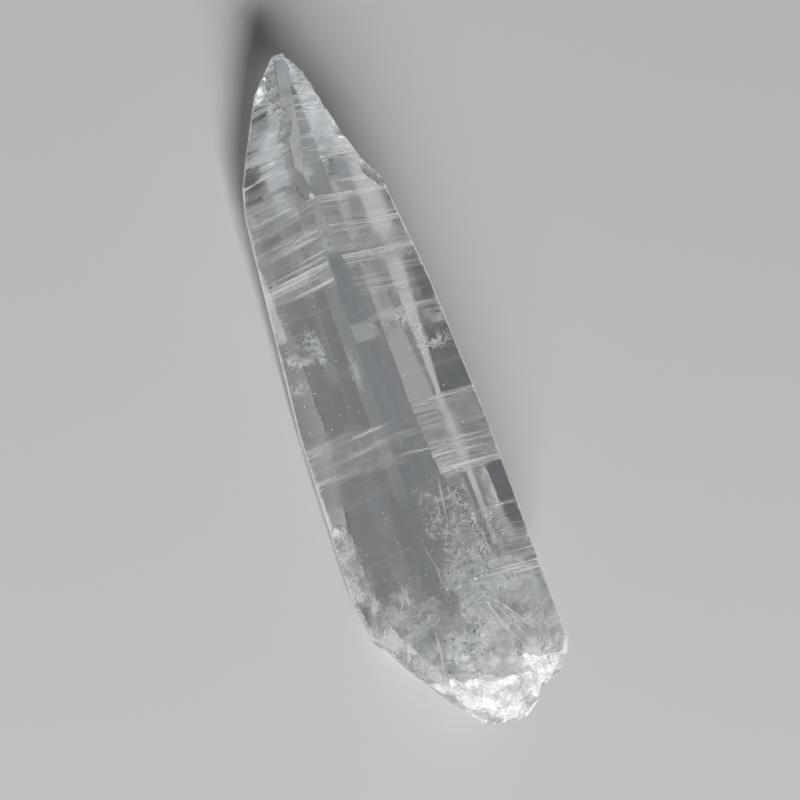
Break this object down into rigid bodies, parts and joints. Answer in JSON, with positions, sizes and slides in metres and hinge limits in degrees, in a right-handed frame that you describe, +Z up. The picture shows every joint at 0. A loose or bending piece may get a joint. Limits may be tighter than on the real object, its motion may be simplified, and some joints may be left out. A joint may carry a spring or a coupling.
{
  "type": "lemurian quartz crystal",
  "caption": "Single clear quartz point with a tapered six-sided body, stepped growth ledges across its faces, a chipped tip ridge and a milky broken base, lying on one side.",
  "frame": {"origin": "middle of the bounding box's underside, on the surface that the crystal lies on", "axes": "+Y along the crystal's long axis towards its point, +Z up from the resting face, +X across"},
  "size_m": [0.0368, 0.1576, 0.0276],
  "materials": {
    "clear_quartz": "clear polished growth faces, frosted on breaks and chips"
  },
  "bodies": {
    "root": {"quartz_crystal": "clear_quartz"}
  },
  "joints": []
}
